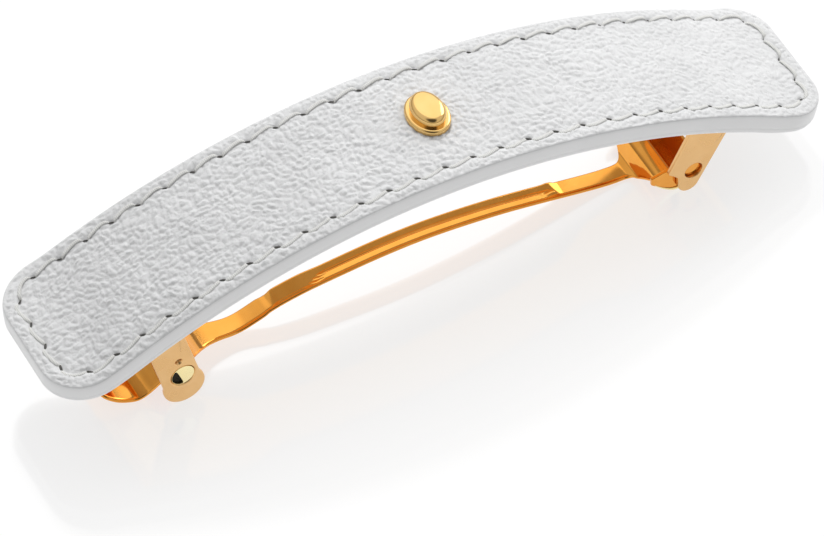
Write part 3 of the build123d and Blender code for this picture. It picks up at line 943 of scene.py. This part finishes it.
def slot_outline(dimple, edge):
    """D-shaped slot in a dimple: part of a circle cut by a straight side, with points that face the edge's."""
    facing = math.radians(SLOT_FACING)
    middle = dimple - SLOT_OFFSET * np.array([math.cos(facing), math.sin(facing)])
    slot = []
    for x, z in edge:
        a = math.atan2(z - middle[1], x - middle[0])
        c = math.cos(a - facing)
        inside = SLOT_OFFSET ** 2 * c * c - SLOT_OFFSET ** 2 + SLOT_RADIUS ** 2
        round_side = SLOT_OFFSET * c + math.sqrt(inside)
        straight = SLOT_EDGE / max(c, 0.05)
        reach = (round_side ** -5 + straight ** -5) ** (-1 / 5)     # the smaller of both, with round corners
        slot.append(middle + reach * np.array([math.cos(a), math.sin(a)]))
    return np.array(slot)


def small_disc(name, centre, side, low, high, mat):
    """Disc with rounded edges between two distances from the clip's middle."""
    turn = (high - low) / 5
    profile = [(low, TIP), (low, 0.8), (low, 1.4), (low + turn, 1.44),
               (high - turn, 1.44), (high, 1.4), (high, 0.8), (high, TIP)]
    return turned_piece(name, centre, side, profile, 48, mat)


def clasp_ear(side, mat, bright, shade_behind_slot):
    """Ear of the spring with its pit, its pressed dimple, the slot in it, a dark disc of painted shade behind
    the slot, and the dimple's back.
    """
    dimple = on_clasp_ear(*DIMPLE)
    pit = on_clasp_ear(*PIT) + PIT_SHIFT

    def relief(x, z):
        r = np.hypot(x - dimple[0], z - dimple[1])
        q = np.hypot(x - pit[0], z - pit[1])
        lip = LIP_RISE * np.exp(-((r - LIP_RADIUS) / LIP_WIDTH) ** 2)
        rim = PIT_RIM * np.exp(-((q - PIT_RIM_RADIUS) / PIT_RIM_WIDTH) ** 2)
        return lip - PIT_DEPTH * (1 - smooth_step(q, *PIT_WALL)) + rim

    def dome(x, z):
        r = np.hypot(x - dimple[0], z - dimple[1])
        return DIMPLE_RISE * (1 - np.clip(r / 1.36, 0, 1) ** 2)

    local = [(x, ear_top(x)) for x in np.linspace(EAR_HALF, -EAR_HALF, 8)]
    start = math.atan2(1.09, -EAR_HALF)
    local += arc(0, 0, LOBE_RADIUS, LOBE_RADIUS, np.linspace(start, math.pi * 3 - start, 40))
    outline = resample(np.array([on_clasp_ear(x, y) for x, y in local]), 180)
    edge = np.array(arc(*dimple, DIMPLE_RADIUS, DIMPLE_RADIUS, np.linspace(0, 2 * math.pi, 120, False)))
    ring = circle_facing(dimple, DIMPLE_RING, outline)
    slot = slot_outline(dimple, edge)
    word = side_word(side)
    ear = pierced_plate(f"clasp_ear_{word}", outline, ring, CLIP_HALF, SHEET, side, mat, relief, EAR_BEVEL)
    outer = CLIP_HALF - 0.02
    # The dimple's paler gold is painted highlight
    disc = pierced_plate(f"clasp_dimple_{word}", edge, slot, outer, DIMPLE_SHEET, side, bright, dome, 0.015)
    inside = small_disc(f"clasp_slot_{word}", dimple, side, *SLOT_SHADOW, shade_behind_slot)
    back = small_disc(f"dimple_back_{word}", dimple, side, *DIMPLE_BACK, mat)
    return ear, disc, inside, back


# Lights and surroundings

FRONT_ABOVE = (-0.306, -0.564, 0.767)
BACK_ABOVE = (0.306, 0.564, 0.767)


def area_light(name, location, target, size, watts):
    data = bpy.data.lights.new(name, "AREA")
    data.shape = "RECTANGLE"
    data.size = data.size_y = size
    data.energy = watts
    lamp = add_object(name, data)
    lamp.location = location
    lamp.rotation_euler = (Vector(target) - Vector(location)).to_track_quat("-Z", "Y").to_euler()
    return lamp


def sky_ramp(tree, direction, vector, low, high):
    """Grey that changes with the direction: from low to high as it turns towards the vector."""
    dot = tree.nodes.new("ShaderNodeVectorMath")
    dot.operation = "DOT_PRODUCT"
    dot.inputs[1].default_value = vector
    ramp = tree.nodes.new("ShaderNodeValToRGB")
    for element, (position, value) in zip(ramp.color_ramp.elements, (low, high)):
        element.position = position
        element.color = (value, value, value, 1)
    tree.links.new(direction, dot.inputs[0])
    tree.links.new(dot.outputs["Value"], ramp.inputs["Fac"])
    return ramp.outputs["Color"]


def join(tree, kind, a, b):
    mix = tree.nodes.new("ShaderNodeVectorMath")
    mix.operation = kind
    tree.links.new(a, mix.inputs[0])
    tree.links.new(b, mix.inputs[1])
    return mix.outputs["Vector"]


def studio_world():
    """Room that is brighter above, with a dark place behind the camera and a bright one opposite."""
    world = bpy.data.worlds.new("studio")
    bpy.context.scene.world = world
    world.use_nodes = True
    tree = world.node_tree
    backdrop = tree.nodes["Background"]
    direction = tree.nodes.new("ShaderNodeTexCoord").outputs["Generated"]
    height = sky_ramp(tree, direction, (0, 0, 1), (0.05, 0.40), (0.45, 0.95))
    camera_side = sky_ramp(tree, direction, FRONT_ABOVE, (0.80, 1.0), (0.93, 0.1))
    far_side = sky_ramp(tree, direction, BACK_ABOVE, (0.80, 0.0), (0.95, 0.75))
    sky = join(tree, "ADD", join(tree, "MULTIPLY", height, camera_side), far_side)
    tree.links.new(sky, backdrop.inputs["Color"])
    backdrop.inputs["Strength"].default_value = 0.78


leather = leather_material()
paint = paint_material()
lining = shaded_lining_material()
thread = thread_material()
# Painted shade: the needle holes' dark patches
dark = hole_material("needle_hole", 0.05, 0.14)
# Painted shade: the dark disc behind each slot
shade_behind_slot = hole_material("slot_shadow", 0.012, 0.025, 0.2)
gold = gold_material("polished_gold", (0.85, 0.36, 0.06), (0.89, 0.40, 0.075), 0.07, 0.13)
# Paler, smoother gold for the dimples and the lugs' lips; the paler colour is painted highlight
bright = gold_material("gold_with_painted_highlight", (0.98, 0.82, 0.42), (0.99, 0.86, 0.47), 0.16, 0.22)
stud = gold_material("stud_gold", (0.86, 0.55, 0.20), (0.90, 0.60, 0.24), 0.10, 0.17)
satin = gold_material("satin_gold", (0.80, 0.49, 0.21), (0.84, 0.53, 0.24), 0.24, 0.32)

stations, rows = strap_stations(), strap_rows()
top = strap_top(stations, rows, leather)
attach(top, "strap")
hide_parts("leather_face")
wall = strap_wall(*rim_path(stations, rows), paint)
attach(wall, "strap")
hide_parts("leather_lining")
under = strap_under(lining)
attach(under, "strap")
threads, holes = stitches(thread, dark)
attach(threads, "strap")
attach(holes, "strap")

bar = locking_bar(gold)
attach(bar, "bar")
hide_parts("locking_bar")
for side in (-1, 1):
    # The lip's paler gold is painted highlight
    for piece in (bar_lug(side, gold), lug_bead(side, bright), bar_pin(side, gold)):
        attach(piece, "bar")

for side in (-1, 1):
    ear = hinge_ear(side, satin)
    spring_ear, dimple, slot, back = clasp_ear(side, satin, bright, shade_behind_slot)
    for piece in (ear, spring_ear, dimple, slot, back):
        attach(piece, "strap")
    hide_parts("base_plate")
    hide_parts("clasp_spring")
around = np.linspace(-BASE_REACH, BASE_REACH, 90)
flare = np.clip((ARCH * np.abs(np.sin(around)) - BASE_FLARE[0]) / BASE_FLARE[1], 0, 1)
base = arch_sheet("base_sheet", around, BASE_WAIST + (CLIP_HALF - BASE_WAIST) * flare, BASE_DEPTH, satin)
web = arch_sheet("spring_web", np.linspace(*WEB_REACH, 12), np.full(12, CLIP_HALF), WEB_DEPTH, satin)
for piece, name in ((base, "base_plate"), (web, "clasp_spring")):
    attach(piece, "strap")
    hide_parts(name)

# The stud keeps its shape and gets its own gold
for o in bpy.data.objects:
    if o.type == "MESH" and o.name.split(".")[0] == "ornament":
        o.data.materials.clear()
        o.data.materials.append(stud)

bpy.ops.mesh.primitive_plane_add(size=6.0, location=(0, 0, 0))
floor = bpy.context.object
floor.name = "floor"
floor.data.materials.append(floor_material())

key = area_light("key", (0.17, 0.56, 0.69), (0, 0, 0.01), 0.10, 3.15)
key.visible_glossy = False
area_light("side", (0.74, 0.28, 0.44), (0, 0, 0.01), 0.5, 2.1)
studio_world()

# Camera at the photograph's angle: from the left of the front, looking down
AZ = math.radians(-28.476)
EL = math.radians(50.108)
AIM = (-1.06, -16.05)   # mm to the right of and above the middle of the strap
DISTANCE = 664.9        # mm
SENSOR = 36.0
FOCAL = 6142.0 / 824.0 * SENSOR     # 6142 pixels in a picture 824 pixels wide
away = Vector((math.sin(AZ) * math.cos(EL), -math.cos(AZ) * math.cos(EL), math.sin(EL)))
right = Vector((math.cos(AZ), math.sin(AZ), 0))
up = away.cross(right)
cam_data = bpy.data.cameras.new("camera")
cam_data.sensor_fit = "HORIZONTAL"
cam_data.sensor_width = SENSOR
cam_data.lens = FOCAL
cam_data.clip_start = 0.01
cam_data.clip_end = 20.0
cam = add_object("camera", cam_data)
spot = Vector(LIFT) + away * DISTANCE + right * AIM[0] + up * AIM[1]
turned = Matrix((right, up, away)).transposed().to_4x4()
cam.matrix_world = Matrix.Translation(spot * MM) @ turned
bpy.context.scene.camera = cam
bpy.context.scene.view_settings.view_transform = "Standard"
